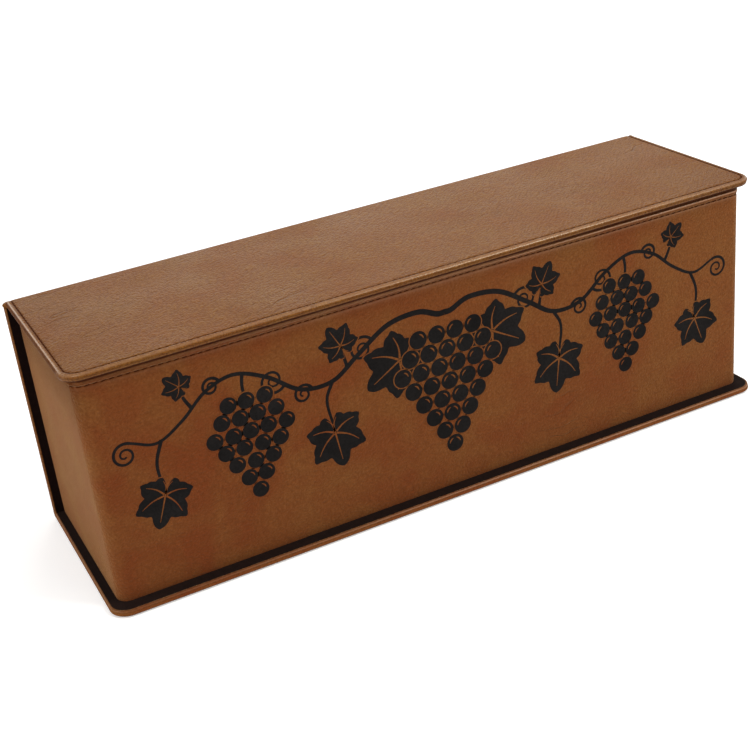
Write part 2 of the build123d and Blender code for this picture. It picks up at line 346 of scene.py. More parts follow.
def newMaterial(name, roughness, metallic=0.0, specular=0.5):
    material = bpy.data.materials.new(name)
    material.use_nodes = True
    tree = material.node_tree
    shader = tree.nodes["Principled BSDF"]
    shader.location = (1800, 0)
    tree.nodes["Material Output"].location = (2100, 0)
    shader.inputs["Roughness"].default_value = roughness
    shader.inputs["Metallic"].default_value = metallic
    shader.inputs["Specular IOR Level"].default_value = specular
    where = addNode(tree, "ShaderNodeTexCoord").outputs["Object"]
    return material, tree, shader.inputs, where


def placeGroup(tree, group, position, **values):
    node = addNode(tree, "ShaderNodeGroup", node_tree=group)
    feed(tree, node.inputs["Position"], position)
    for label, value in values.items():
        feed(tree, node.inputs[label.replace("_", " ")], value)
    return node.outputs


def addBump(tree, shader, height, strength, depth):
    # the depth is in mm
    node = addNode(tree, "ShaderNodeBump")
    node.inputs["Strength"].default_value = strength
    node.inputs["Distance"].default_value = depth * mm
    feed(tree, node.inputs["Height"], height)
    feed(tree, shader["Normal"], node.outputs["Normal"])


def times(color, factor):
    return tuple(factor * c for c in color)


leatherLook = {
    "base": (0.189, 0.0730, 0.0125), "red": (0.183, 0.0610, 0.0095), "gold": (0.196, 0.0840, 0.0150),
    "reddest": (-0.16, 0.12, 0.75, 0.35),      # from x to x in metres, and how red at each
    "goldOffset": (-0.1758, -0.1690, 0.0, 0.0),   # the same for yellow, which on the left side is painted sheen: the left side, then the rest
    "roughness": (0.40, 0.52), "patchEdges": (0.35, 0.65), "shadedRoughness": 0.45, "specular": 0.079,
    "grainDepth": 1.1, "ripple": 1.0, "creaseShade": 0.25,
    # the shade colour below is painted shade, mixed in by the shade mask and by the grain's creases
    "shadeColor": (0.036, 0.0056, 0.0013), "valley": (0.098, 0.026, 0.006), "valleyAmount": 0.55,
    "highlightColor": (0.34, 0.16, 0.05), "highlightAmount": 0.4, "polish": 0.24,   # painted highlight colour where the rolls catch the light, and the polish of their coat
    "sheen": 0.0, "sheenTint": (1.0, 0.88, 0.60),
}
trayLook = {
    **leatherLook,
    "base": (0.178, 0.0555, 0.0152), "red": (0.164, 0.0370, 0.0104), "gold": (0.190, 0.073, 0.0205),
    # the tray's left side is made yellower as a painted sheen
    "reddest": (-0.16, 0.12, 1.05, 0.15), "goldOffset": (-0.1758, -0.1690, 0.34, -0.07),
    "ripple": 0.8, "grainDepth": 0.55, "valleyAmount": 0.6, "specular": 0.0,
    # the tray's rim gets a stronger painted highlight colour
    "highlightColor": (0.50, 0.22, 0.09), "highlightAmount": 0.7, "sheen": 0.22, "sheenTint": (1.0, 0.83, 0.53),
}


def makeLeather(name, look):
    material, tree, shader, where = newMaterial(name, look["roughness"][0], specular=look["specular"])
    parts = addNode(tree, "ShaderNodeSeparateXYZ")
    feed(tree, parts.inputs[0], where)
    along = parts.outputs["X"]
    skin = placeGroup(tree, mottle, where, Base=look["base"], Red=look["red"], Gold=look["gold"],
                      Redness=spread(tree, along, *look["reddest"]),
                      Gilding=spread(tree, along, *look["goldOffset"]))
    pressed = placeGroup(tree, grain, where, Ripple_Amount=look["ripple"])
    # shine sets the coat's polish and a painted highlight colour; shade is painted shade
    shine, shade = [addNode(tree, "ShaderNodeAttribute", attribute_name=label).outputs["Fac"]
                    for label in ("shine", "shade")]
    valleys = mathNode(tree, "MULTIPLY", pressed["Valleys"], look["valleyAmount"])
    creases = mathNode(tree, "MULTIPLY", pressed["Creases"], look["creaseShade"])
    # painted highlight: a lighter colour where the shine mask puts the rolls' highlight
    paintedHighlight = mathNode(tree, "MULTIPLY", shine, look["highlightAmount"])
    color = mixColor(tree, valleys, skin["Color"], look["valley"])
    color = mixColor(tree, creases, color, look["shadeColor"])
    color = mixColor(tree, paintedHighlight, color, look["highlightColor"])
    # painted shade darkens seams, the gap under the lid and shaded sides
    feed(tree, shader["Base Color"], mixColor(tree, shade, color, look["shadeColor"]))
    patched = spread(tree, skin["Patch"], *look["patchEdges"], *look["roughness"])
    dull = mathNode(tree, "MULTIPLY", shade, look["shadedRoughness"])
    feed(tree, shader["Roughness"], mathNode(tree, "ADD", patched, dull, clamp=True))
    feed(tree, shader["Coat Weight"], shine)   # the rolls are polished by handling; the same mask paints their highlight colour
    shader["Coat Roughness"].default_value = look["polish"]
    shader["Sheen Weight"].default_value = look["sheen"]
    feed(tree, shader["Sheen Tint"], look["sheenTint"])
    addBump(tree, shader, pressed["Height"], strength=1.0, depth=look["grainDepth"])
    return material


def makeCloth(name, color, threads, roughness):
    material, tree, shader, where = newMaterial(name, roughness, specular=0.04)
    woven = placeGroup(tree, weave, where, Threads=threads)
    feed(tree, shader["Base Color"], mixColor(tree, woven["Shade"], color, times(color, 1.7)))
    addBump(tree, shader, woven["Height"], strength=0.5, depth=0.06)
    shader["Sheen Weight"].default_value = 0.02
    return material


def makeBoard(name, color, fleck, scale):
    material, tree, shader, where = newMaterial(name, roughness=0.85, specular=0.2)
    fibres = noise(tree, where, scale, detail=5.0, roughness=0.7)
    patches = mathNode(tree, "MULTIPLY", noise(tree, where, scale * 0.08), 0.3)
    flecked = mixColor(tree, spread(tree, fibres, low=0.35, high=0.75), color, fleck)
    feed(tree, shader["Base Color"], mixColor(tree, patches, flecked, fleck))
    addBump(tree, shader, fibres, strength=0.5, depth=0.1)
    return material


def makeThread(name, color):
    material, tree, shader, where = newMaterial(name, roughness=0.9, specular=0.0)
    twist = noise(tree, where, scale=3000.0)
    feed(tree, shader["Base Color"], mixColor(tree, twist, color, times(color, 2.2)))
    addBump(tree, shader, twist, strength=0.6, depth=0.05)
    return material


def makeEngraving(name, color):
    # the black layer under the skin, bared by the beam: matt and a little uneven
    material, tree, shader, where = newMaterial(name, roughness=0.75, specular=0.04)
    burn = noise(tree, where, scale=900.0, detail=3.0, roughness=0.6)
    cloud = noise(tree, where, scale=55.0, detail=3.0, roughness=0.6)
    uneven = spread(tree, mathNode(tree, "MULTIPLY", burn, cloud), low=0.12, high=0.4)
    feed(tree, shader["Base Color"], mixColor(tree, uneven, color, times(color, 2.0)))
    addBump(tree, shader, burn, strength=0.5, depth=0.08)
    return material


def makeFlock(name, color):
    # short stiff fibres that stand on the foam: matt, with a soft lighter edge
    material, tree, shader, where = newMaterial(name, roughness=0.95, specular=0.03)
    pile = noise(tree, where, scale=2200.0, detail=3.0, roughness=0.7)
    brushed = spread(tree, noise(tree, where, scale=60.0, detail=3.0), low=0.35, high=0.7)
    feed(tree, shader["Base Color"], mixColor(tree, brushed, color, times(color, 2.4)))
    addBump(tree, shader, pile, strength=0.8, depth=0.25)
    shader["Sheen Weight"].default_value = 0.08
    return material


def makeMetal(name, dark, bright):
    material, tree, shader, where = newMaterial(name, roughness=0.3, metallic=1.0)
    marks = noise(tree, where, scale=500.0, detail=4.0)
    feed(tree, shader["Base Color"], mixColor(tree, marks, dark, bright))
    feed(tree, shader["Roughness"], spread(tree, marks, low=0.3, high=0.7, newLow=0.25, newHigh=0.4))
    return material


leather = makeLeather("tanLeatherette", leatherLook)
trayLeather = makeLeather("trayLeatherette", trayLook)
lining = makeCloth("blackLining", color=(0.0058, 0.0024, 0.0021), threads=5200.0, roughness=0.85)
hingeTape = makeCloth("hingeTape", color=(0.0065, 0.005, 0.0045), threads=3000.0, roughness=0.9)
thread = makeThread("brownThread", color=(0.028, 0.0065, 0.0020))
greyboard = makeBoard("greyboard", color=(0.30, 0.28, 0.25), fleck=(0.42, 0.40, 0.36), scale=900.0)
fibreboard = makeBoard("fibreboard", color=(0.36, 0.24, 0.14), fleck=(0.48, 0.34, 0.21), scale=700.0)
magnetSteel = makeMetal("magnetSteel", dark=(0.55, 0.55, 0.57), bright=(0.68, 0.67, 0.66))
flock = makeFlock("blackFlock", color=(0.0050, 0.0048, 0.0052))
engraving = makeEngraving("blackEngraving", color=(0.0065, 0.0058, 0.0060))
print("materials made")

# CAD nodes whose shape is right keep it, and get their material
keptNodes = [
    (lining, "base_lining", "spine_lining", "lid_lining", "tray_lining"),
    (hingeTape, "bottom_cloth"),
    (greyboard, "base_board", "spine_board", "lid_board"),
    (fibreboard, "tray_front_wall", "tray_back_wall", "tray_left_wall", "tray_right_wall", "tray_floor"),
    (magnetSteel, "lid_magnets", "rim_magnets"),
]
for material, *names in keptNodes:
    for name in names:
        nodes[name].data.materials.clear()
        nodes[name].data.materials.append(material)

# Rolled edge of a covered panel: inset from the rim, height above the lined face, shine (the coat's polish
# and a painted highlight) and painted shade.
# The leather turns in at the lining, creases, rolls over the board and dips at the seam.
edgeRoll = {
    "points": [
        (1.0, 0.05, 0, 1.0), (0.8, 0.0, 0, 1.0), (0.6, 0.1, 0, 1.0), (0.42, 0.4, 0, 0.9),
        (0.33, 0.75, 0, 0.4), (0.36, 1.0, 0, 0.2), (0.42, 1.2, 0, 0.4), (0.24, 1.4, 0, 0.15),
        (0.06, 1.68, 0, 0.05), (0.0, 1.98, 0, 0), (0.07, 2.3, 0.05, 0), (0.3, 2.63, 0.7, 0),
        (0.68, 2.92, 1.0, 0), (1.15, 3.13, 0.65, 0), (1.6, 3.24, 0.2, 0), (2.0, 3.25, 0, 0.03),
        (2.35, 3.17, 0, 0.2), (2.6, 3.07, 0, 0.45), (2.82, 2.98, 0, 0.75), (3.0, 2.93, 0, 0.9),
        (3.2, 2.98, 0, 0.6), (3.5, 3.08, 0, 0.2), (4.0, 3.2, 0, 0), (4.8, 3.27, 0, 0), (6.2, 3.29, 0, 0),
    ],
    "steps": 3, "counts": (26, 90, 12), "acrossMiddle": 60,
}
roll = smoothLine(edgeRoll["points"], edgeRoll["steps"])
panelCounts = edgeRoll["counts"]


# The lid's board isn't quite flat: two slow waves that fade out along its edges
boardWave = {"first": 0.045, "sway": (1.3, 0.06), "second": (0.11, 0.021, 2), "fade": 32}


def gentleWave(x, y, u, v, height):
    reach, pace = boardWave["sway"]
    across, along, shift = boardWave["second"]
    calm = np.clip(boardWave["fade"] * u * (1 - u) * v * (1 - v), 0, 1)
    first = np.sin(x * boardWave["first"] + reach * np.sin(y * pace))
    return height * calm * (first + np.sin(y * across + x * along + shift))


def panelCover(half, front, level, way, wave):
    # leather over a panel: the roll along three sides, then the flat face as a grid that ends at the fold
    rings = [threeSides(half, front, box["foldLine"], box["corner"], inset, panelCounts)
             for inset in roll[:, 0]]
    rows = [np.column_stack([ring, np.full(len(ring), level + way * height)])
            for ring, height in zip(rings, roll[:, 1])]
    count, last = len(rings[0]), rings[-1]
    deep = panelCounts[0] + panelCounts[2] // 2
    wide = panelCounts[1] + panelCounts[2]
    near, right, left = last[deep:deep + wide + 1], last[deep::-1], last[deep + wide:]
    u = (near[:, 0] - near[0, 0]) / (near[-1, 0] - near[0, 0])
    depths = (right[:, 1] - right[0, 1]) / (right[-1, 1] - right[0, 1])
    back = np.column_stack([right[-1, 0] + u * (left[-1, 0] - right[-1, 0]),
                            np.full(len(u), box["foldLine"])])
    for j, v in enumerate(depths):
        across = ((1 - v) * near + v * back + np.outer(1 - u, right[j]) + np.outer(u, left[j])
                  - np.outer((1 - u) * (1 - v), near[0]) - np.outer(u * (1 - v), near[-1])
                  - np.outer((1 - u) * v, back[0]) - np.outer(u * v, back[-1]))
        lift = gentleWave(*across.T, u, v, wave)
        rows.append(np.column_stack([across, level + way * (roll[-1, 1] + lift)]))
    faces = gridFaces(len(roll), count) + gridFaces(deep + 1, wide + 1, first=len(roll) * count)
    masks = np.vstack([np.repeat(roll[:, 2:], count, axis=0), np.zeros(((deep + 1) * (wide + 1), 2))])
    return np.vstack(rows), faces, *masks.T


def section(half):
    # the same leather cut across, from one rolled end to the other
    left, right = roll.copy(), roll[::-1].copy()
    left[:, 0], right[:, 0] = roll[:, 0] - half, half - roll[::-1, 0]
    middle = np.zeros((edgeRoll["acrossMiddle"], 4))
    middle[:, 0] = np.linspace(left[-1, 0], right[0, 0], len(middle) + 2)[1:-1]
    middle[:, 1] = roll[-1, 1]
    return np.vstack([left, middle, right])


def coverStrip(name, halves, place, material, body, stands, shine, shade):
    # a section for each half length, with shares of the roll's shine and shade
    cuts = [section(half) for half in halves]
    points = [np.column_stack([cut[:, 0], *place(k, cut[:, 1])]) for k, cut in enumerate(cuts)]
    rollShine, rollShade = np.vstack([cut[:, 2:] for cut in cuts]).T
    piece = makePiece(name, np.vstack(points), gridFaces(len(cuts), len(cuts[0])), material,
                      "tan_leatherette", body, stands, shine=shine * rollShine, shade=shade * rollShade)
    weld(piece)
    return piece


fold, under, top = box["foldLine"], box["lidUnder"], box["baseTop"]
half, lidHalf = box["halfLength"], box["lidHalf"]

# The lid's wave, polish, painted highlight and painted shade, in mm: ramps go from a start to an end,
# humps have a middle and a width, and the last number is the amount
lidLook = {
    "wave": 0.05, "leastPolish": 0.7, "polish": (0, 360, 0.45),   # the lip's polish and painted highlight grow to the right
    "foot": (0.75, 0.3, 0.3), "footLight": (0.9, 0.45, 0.9),      # painted highlight on its turned-in foot, with less painted shade there
    # the shade mask darkens both ends, the right one only towards the front
    "darkLeft": (50, 5, 0.09), "darkRight": (300, 355, 0.17), "darkFront": (5, -40),
    # on the left side, painted highlight on the roll and its foot and painted shade on the outer shoulder,
    # out to a width, with its foot up to a height
    "leftSide": (4, 12), "leftWidth": 1.9, "leftRoll": (1.15, 0.32, 0.9), "leftFoot": (0.7, 0.25),
    "leftShaded": (0.95, 0.70, 0.62), "leftShadedHeight": (0.55, 0.85),
}
lidPoints, lidFaces, lidShine, lidShade = panelCover(
    lidHalf, box["lidFront"], level=under, way=1, wave=lidLook["wave"])
inLeft, inFront, overLip = (lidPoints - (-lidHalf, box["lidFront"], under)).T
# polish and painted highlight on the lip and its foot, darker ends, and the left side's painted highlight
# and shade
lidShine *= np.minimum(lidLook["leastPolish"] + ramp(inLeft, *lidLook["polish"]), 1)
lidShine += hump(overLip, *lidLook["foot"])
lidShade *= 1 - hump(overLip, *lidLook["footLight"])
lidShade += ramp(inLeft, *lidLook["darkLeft"])
lidShade += ramp(inLeft, *lidLook["darkRight"]) * ramp(lidPoints[:, 1], *lidLook["darkFront"])
onLeft = ramp(inFront, *lidLook["leftSide"]) * (inLeft < lidLook["leftWidth"])
footHeight, footShine = lidLook["leftFoot"]
leftShine = hump(inLeft, *lidLook["leftRoll"]) + footShine * (overLip < footHeight)
leftShade = ramp(inLeft, *lidLook["leftShaded"]) * ramp(overLip, *lidLook["leftShadedHeight"])
lidShine += onLeft * (leftShine - lidShine)
lidShade += onLeft * (leftShade - lidShade)
weld(makePiece("lidCover", lidPoints, lidFaces, leather, "tan_leatherette", "lid", ["lid_wrap"],
               shine=lidShine, shade=lidShade))

# On the base the turned-in leather shows as a narrow strip over the lining's edge, wider in front
turnIn = {
    "front": (0.7, 0.9, 1.25, 1.55, 1.6), "sides": (0.7, 0.85, 0.95, 1.05, 1.1),
    # the strip's shades are painted shade, darkest beside the lining
    "heights": (0.08, -0.03, -0.06, -0.03, 0.04), "shades": (0.3, 0.35, 0.5, 0.7, 0.75),
    "frontEnds": (-44, -52),
    # painted shade kept near the roll's top, and a painted highlight on the lip that grows to the right
    "shadeLeft": (2.0, 1.0, 0.4), "shine": (0.35, 0.28), "leastShine": 0.25, "moreShine": (-170, 80, 0.6),
}
basePoints, baseFaces, rollShine, rollShade = panelCover(half, box["front"], level=top, way=-1, wave=0.0)
strip = []
for frontInset, sideInset, height in zip(turnIn["front"], turnIn["sides"], turnIn["heights"]):
    near, far = [threeSides(half, box["front"], fold, box["corner"], inset, panelCounts)
                 for inset in (frontInset, sideInset)]
    line = far + (near - far) * ramp(far[:, 1:], *turnIn["frontEnds"])
    strip.append(np.column_stack([line, np.full(len(line), top - height)]))
baseFaces += gridFaces(len(strip), len(strip[0]), first=len(basePoints))
basePoints = np.vstack([basePoints, *strip])
below = top - basePoints[:, 2]
baseShade = np.append(rollShade * ramp(below[:len(rollShade)], *turnIn["shadeLeft"]),
                      np.repeat(turnIn["shades"], len(strip[0])))
baseShine = hump(below, *turnIn["shine"]) * (turnIn["leastShine"]
                                             + ramp(basePoints[:, 0], *turnIn["moreShine"]))
weld(makePiece("baseCover", basePoints, baseFaces, trayLeather, "tan_leatherette", "box", ["base_wrap"],
               shine=baseShine, shade=baseShade))

# The folds and the spine; at the hinge the leather's ends are pinched outwards, in mm
foldTurn = {"steps": 14, "pinch": 0.9, "spineRows": 30}
angles = np.radians(np.linspace(0, 90, foldTurn["steps"] + 1))
levels = np.linspace(under, top, foldTurn["spineRows"])
hingeHalves = [lidHalf + (half - lidHalf) * a / angles[-1] + foldTurn["pinch"] * math.sin(2 * a) ** 2
               for a in angles]
topFold = coverStrip(
    "topFold", hingeHalves, lambda k, h: (fold + h * math.sin(angles[k]), under + h * math.cos(angles[k])),
    leather, None, ["top_fold"], shine=0.3, shade=0.3)
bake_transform(topFold)
coverStrip("spineCover", [half] * len(levels), lambda k, h: (fold + h, levels[k] + 0 * h),
           leather, "box", ["spine_wrap"], shine=0.3, shade=0.2)
coverStrip(
    "bottomFold", [half] * len(angles),
    lambda k, h: (fold + h * math.cos(angles[k]), top - h * math.sin(angles[k])),
    trayLeather, "box", ["bottom_fold"], shine=0.3, shade=0.2)
print("case covered")

# Cloth tape inside the hinge, drawn from under the lid's lining to the spine's
tape = {"inner": 2.0, "outer": 2.5, "half": 179.0}
tapePoints = [(x, fold + h * math.sin(a), under + h * math.cos(a)) for a in angles
              for x in (-tape["half"], tape["half"]) for h in (tape["inner"], tape["outer"])]
tapeFaces = []
for k in range(len(angles) - 1):
    a, b = 4 * k, 4 * k + 4
    tapeFaces += [(a, a + 2, b + 2, b), (a + 1, b + 1, b + 3, a + 3),
                  (a, b, b + 1, a + 1), (a + 2, a + 3, b + 3, b + 2)]
hingeCloth = makePiece("hingeCloth", tapePoints, tapeFaces, hingeTape, "black_lining",
                       stands=["hinge_cloth"])
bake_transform(hingeCloth)

# Leather round the tray: up the outside, in at the seam, over the padded rim, and down inside as a flap.
# Each point has its inset, height, shine (the coat's polish and a painted highlight) and painted shade.
tray = {
    "profile": [
        (0.0, 3.3, 0, 0.35), (0.0, 4.6, 0, 0.12), (0.0, 8.0, 0, 0), (0.0, 20.0, 0, 0), (0.0, 40.0, 0, 0),
        (0.0, 60.0, 0, 0), (0.0, 80.0, 0, 0), (0.0, 100.0, 0, 0), (0.0, 107.5, 0, 0), (0.0, 109.9, 0.1, 0),
        (0.08, 110.6, 0.35, 0), (0.3, 111.05, 0, 0.15), (0.38, 111.3, 0, 0.4), (0.26, 111.55, 0, 0.15),
        (0.0, 111.95, 0, 0), (-0.22, 112.35, 0, 0), (-0.36, 112.75, 0, 0), (-0.33, 113.1, 0.4, 0),
        (-0.12, 113.5, 1.0, 0), (0.18, 113.8, 1.0, 0), (0.36, 114.15, 0.15, 0.8), (0.38, 114.6, 0, 0.8),
        (0.34, 115.7, 0, 0.9), (0.5, 116.3, 0, 1), (0.9, 116.58, 0, 0.5), (1.4, 116.68, 0, 0),
        (3.3, 116.7, 0, 0), (5.2, 116.68, 0, 0), (5.9, 116.55, 0, 0), (6.35, 116.1, 0, 0),
        (6.58, 115.4, 0, 0), (6.6, 113.0, 0, 0), (6.6, 109.0, 0, 0), (6.6, 105.3, 0, 0),
        (6.5, 104.9, 0, 0), (6.2, 104.72, 0, 0.5), (5.9, 104.8, 0, 1),
    ],
    "steps": 3, "counts": (24, 88, 12),
    # along the front the rim's seam strays up and down: x and how far
    "stray": [(-176, 0.7), (-158, 0.65), (-105, 0.25), (-35, 0.6), (25, 0.75), (80, 0.05),
              (120, -0.15), (176, -0.3)],
    "strayWidth": 1.3,
    # the painted shade of the gap under the lid, and the rim's painted highlight below it, reach a little
    # lower towards the right
    "gapLower": (20, 130, 0.5), "gapAbove": (112.4, 113.4),
    # the front's polish and painted highlight in the middle, and their gain per mm to the right
    "polish": (0.9375, 0.00375), "frontOnly": 2.0,
    # the left side has painted shade close to the lid, and a little polish and painted sheen half way up
    "leftEnd": (-171, -175.5), "leftShadeTop": (85, 110, 0.45), "leftSheen": (100, 85, 0.025), "leftLow": (15, 40),
}
stray = smoothLine(tray["stray"], steps=6)


def rimStray(x):
    return np.interp(x, stray[:, 0], stray[:, 1])


trayLine = smoothLine(tray["profile"], tray["steps"])
trayRings = [fourSides(box["trayHalf"], box["trayFront"], fold, box["trayCorner"], box["trayBackCorner"],
                       inset, tray["counts"]) for inset in trayLine[:, 0]]
around = len(trayRings[0])
trayPoints = np.column_stack([np.vstack(trayRings), np.repeat(trayLine[:, 1], around)])
atX, atY, atZ = trayPoints.T
nearFront = atY < box["trayFront"] + box["trayCorner"]
atZ += rimStray(atX) * hump(atZ, box["rimSeam"], tray["strayWidth"]) * nearFront
trayMasks = np.repeat(trayLine[:, 2:], around, axis=0)
rising = int(np.argmax(trayLine[:, 1]))
outside = np.repeat(trayLine[:rising, 1], around)
# the gap's painted shade and the rim's painted highlight sit lower towards the right
lowered = outside + ramp(atX[:len(outside)], *tray["gapLower"]) * ramp(outside, *tray["gapAbove"])
for k in (0, 1):
    trayMasks[:len(outside), k] = np.interp(lowered, trayLine[:rising, 1], trayLine[:rising, 2 + k])
trayShine, trayShade = trayMasks.T
# the front's polish and painted highlight grow to the right
polish, polishGain = tray["polish"]
trayShine *= np.clip(polish + polishGain * atX, 0, 1) * (atY < box["trayFront"] + tray["frontOnly"])
leftEnd = ramp(atX, *tray["leftEnd"])
# the left side's painted shade near the lid, and a little polish and painted sheen half way up
trayShade = np.maximum(trayShade, leftEnd * ramp(atZ, *tray["leftShadeTop"]))
trayShine += leftEnd * ramp(atZ, *tray["leftSheen"]) * ramp(atZ, *tray["leftLow"])
weld(makePiece("trayCover", trayPoints, gridFaces(len(trayRings), around, closed=True), trayLeather,
               "tan_leatherette", "box", ["tray_wrap"], shine=trayShine, shade=trayShade))
print("tray covered")

# Stitches: short bars of thread that dive into the leather at both ends
stitch = {
    "pitch": 3.6, "length": 2.75, "width": 0.52, "height": 0.34, "slant": 7.0, "rings": 7, "sides": 8,
    "endWidth": 0.25, "dive": 0.28, "lookAhead": 0.8,
    "strayAlong": 0.06, "straySlant": 2, "sizes": (0.95, 1.04),
}


def oneStitch():
    points = []
    for t in np.linspace(-1, 1, stitch["rings"]):
        fullness = math.sqrt(max(0.0, 1 - abs(t) ** 3)) * (1 - stitch["endWidth"]) + stitch["endWidth"]
        for s in range(stitch["sides"]):
            a = 2 * math.pi * s / stitch["sides"]
            points.append((t * stitch["length"] / 2, fullness * stitch["width"] / 2 * math.cos(a),
                           fullness * stitch["height"] / 2 * math.sin(a) - stitch["dive"] * abs(t) ** 4))
    faces = gridFaces(stitch["rings"], stitch["sides"], closed=True)
    faces.append(tuple(range(stitch["sides"]))[::-1])
    faces.append(tuple(range(len(points) - stitch["sides"], len(points))))
    return np.array(points), faces


def sewAlong(name, lines, outward, body, stands, seed):
    # lines are in mm; every stitch lies along its line and faces outward from the leather there
    random.seed(seed)
    template, templateFaces = oneStitch()
    points, faces = [], []
    for line in lines:
        line = np.asarray(line, float)
        along = np.concatenate([[0], np.cumsum(np.linalg.norm(np.diff(line, axis=0), axis=1))])

        def spot(d):
            return np.array([np.interp(d, along, line[:, i]) for i in range(3)])

        count = int(along[-1] // stitch["pitch"])
        start = (along[-1] - count * stitch["pitch"]) / 2 + stitch["pitch"] / 2
        for k in range(count):
            d = start + k * stitch["pitch"] + random.uniform(-stitch["strayAlong"], stitch["strayAlong"])
            here = spot(d)
            ahead = spot(min(d + stitch["lookAhead"], along[-1])) - spot(max(d - stitch["lookAhead"], 0))
            ahead /= np.linalg.norm(ahead)
            out = np.array(outward(here), float)
            side = np.cross(out, ahead)
            side /= np.linalg.norm(side)
            a = math.radians(stitch["slant"] + random.uniform(-stitch["straySlant"], stitch["straySlant"]))
            bar = ahead * math.cos(a) + side * math.sin(a)
            across = side * math.cos(a) - ahead * math.sin(a)
            size = random.uniform(*stitch["sizes"])
            first = len(points)
            for p in template:
                points.append(here + size * (bar * p[0] + across * p[1]) + out * p[2])
            faces += [tuple(first + i for i in face) for face in templateFaces]
    makePiece(name, points, faces, thread, "brown_thread", body, stands)


# The seams' height in their grooves, how far back they go, and the ends of the spine's
seams = {"height": 3.02, "back": 49.5, "counts": (40, 120, 16), "rimInset": 0.2, "rimBack": 47.0,
         "spineEnds": (5.0, 115.0)}


def seamLine(halfWidth, front, z):
    path = threeSides(halfWidth, front, seams["back"], box["corner"], box["seamInset"], seams["counts"])
    return np.column_stack([path, np.full(len(path), z)])


def outFromTray(p):
    x = max(abs(p[0]) - (box["trayHalf"] - box["trayCorner"]), 0) * (1 if p[0] > 0 else -1)
    y = min(p[1] - (box["trayFront"] + box["trayCorner"]), 0)
    size = math.hypot(x, y) or 1
    return (x / size, y / size, 0)


sewAlong("lidStitches", [seamLine(lidHalf, box["lidFront"], under + seams["height"])],
         lambda p: (0, 0, 1), "lid", ["lid_thread"], seed=3)
sewAlong("baseStitches", [seamLine(half, box["front"], top - seams["height"])],
         lambda p: (0, 0, -1), "box", ["base_thread"], seed=4)
rimPath = threeSides(box["trayHalf"], box["trayFront"], seams["rimBack"], box["trayCorner"],
                     seams["rimInset"], seams["counts"])
rimLine = np.column_stack([rimPath, box["rimSeam"] + rimStray(rimPath[:, 0])])
sewAlong("rimStitches", [rimLine], outFromTray, "box", ["rim_thread"], seed=5)
spineLines = [[(side * (half - box["seamInset"]), fold + seams["height"], z) for z in seams["spineEnds"]]
              for side in (-1, 1)]
sewAlong("spineStitches", spineLines, lambda p: (0, 1, 0), "box", ["spine_thread"], seed=6)
print("seams sewn")

# Engraved vine on the tray's front: black where the beam has burnt through, bare leather between.
# Drawn in millimetres to the right of the middle and above the base, and mirrored to the left.
vine = {
    "layer": 0.02, "leafPoints": 97, "curlPoints": 60, "veinPoints": 9, "discPoints": 28,
    "stem": [(0, 96), (4, 96.3), (14, 100), (30, 98), (46, 88), (60, 79), (76, 80), (91, 91), (106, 97),
             (120, 93), (132, 83), (145, 76), (157, 80)],
    "stemWidth": (3.0, 1.3), "stalkWidth": (1.8, 1.3), "tendrilWidth": (1.5, 0.8),
    # leaves: x, height, size and turn
    "leaves": [(25, 79, 21.0, -30), (54, 95, 12.0, 62), (62, 53, 19.0, -98), (131, 99, 9.0, 42),
               (146, 50, 17.0, -70)],
    # a leaf's reach at each angle from its tip, in degrees and shares of its size
    "lobes": [(0, 1.0), (24, 0.66), (50, 0.90), (78, 0.56), (108, 0.74), (138, 0.50), (162, 0.52),
              (180, 0.14)],
    "leafEdge": 0.9, "teeth": (9, 0.05),
    # veins: shares of the lobe's reach, and widths in mm for a leaf of veinSize
    "veinStart": 0.05, "midribStart": -0.12, "veinEnd": 0.8, "veinWidth": (0.75, 0.2), "veinSize": 14,
    "veinBow": 0.05,
    # bunches: x, height, size of a grape, and how many in each row
    "bunches": [(0, 86, 4.6, (4, 5, 6, 5, 4, 3, 2, 1)), (102, 83, 4.1, (3, 4, 5, 4, 3, 2, 1))],
    "grapeEdge": 0.55, "grapeSteps": (2.14, 1.86), "grapeStray": 0.25,
    "glint": {"angles": (105, 175), "reach": 0.62, "width": 0.16, "taper": (0.25, math.pi - 0.25)},
    "stalks": [[(52, 84), (53, 89), (54, 94)], [(60, 79), (64, 70), (62, 55)],
               [(102, 97), (103, 90), (102, 82)], [(127, 87), (130, 93), (131, 98)],
               [(143, 77), (147, 66), (146, 52)]],
    # tendrils: x, height, first direction, size and way round
    "tendrils": [(38, 93, 65, 6.5, 1), (83, 85, -60, 6.5, -1), (113, 96, 70, 4.5, 1), (157, 80, 30, 6.0, 1),
                 (70, 78, 80, 5.0, 1)],
    "tendrilTurns": 1.7, "tendrilShrink": 0.86,
}
inks = {"burnt": ([], []), "bare": ([], [])}


def leafPoints(cx, cz, size, turn):
    around = np.linspace(-180, 180, vine["leafPoints"])[:-1]
    lobeAngles, reach = np.array(vine["lobes"], float).T
    teeth, toothDepth = vine["teeth"]
    r = size * np.interp(np.abs(around), lobeAngles, reach)
    r *= 1 + toothDepth * np.abs(np.sin(np.radians(around * teeth)))
    a = np.radians(around + turn)
    return np.column_stack([cx + r * np.cos(a), cz + r * np.sin(a)])


def ribbon(line, widths):
    # a flat strip along a line, with its own width at every point
    line = np.asarray(line, float)
    ahead = np.gradient(line, axis=0)
    ahead /= np.linalg.norm(ahead, axis=1)[:, None]
    side = np.column_stack([-ahead[:, 1], ahead[:, 0]]) * np.asarray(widths, float)[:, None] / 2
    return np.vstack([line + side, (line - side)[::-1]])


def tapered(line, widths):
    return ribbon(line, np.linspace(*widths, len(line)))


def disc(cx, cz, r):
    a = np.radians(np.arange(vine["discPoints"]) * 360 / vine["discPoints"])
    return np.column_stack([cx + r * np.cos(a), cz + r * np.sin(a)])


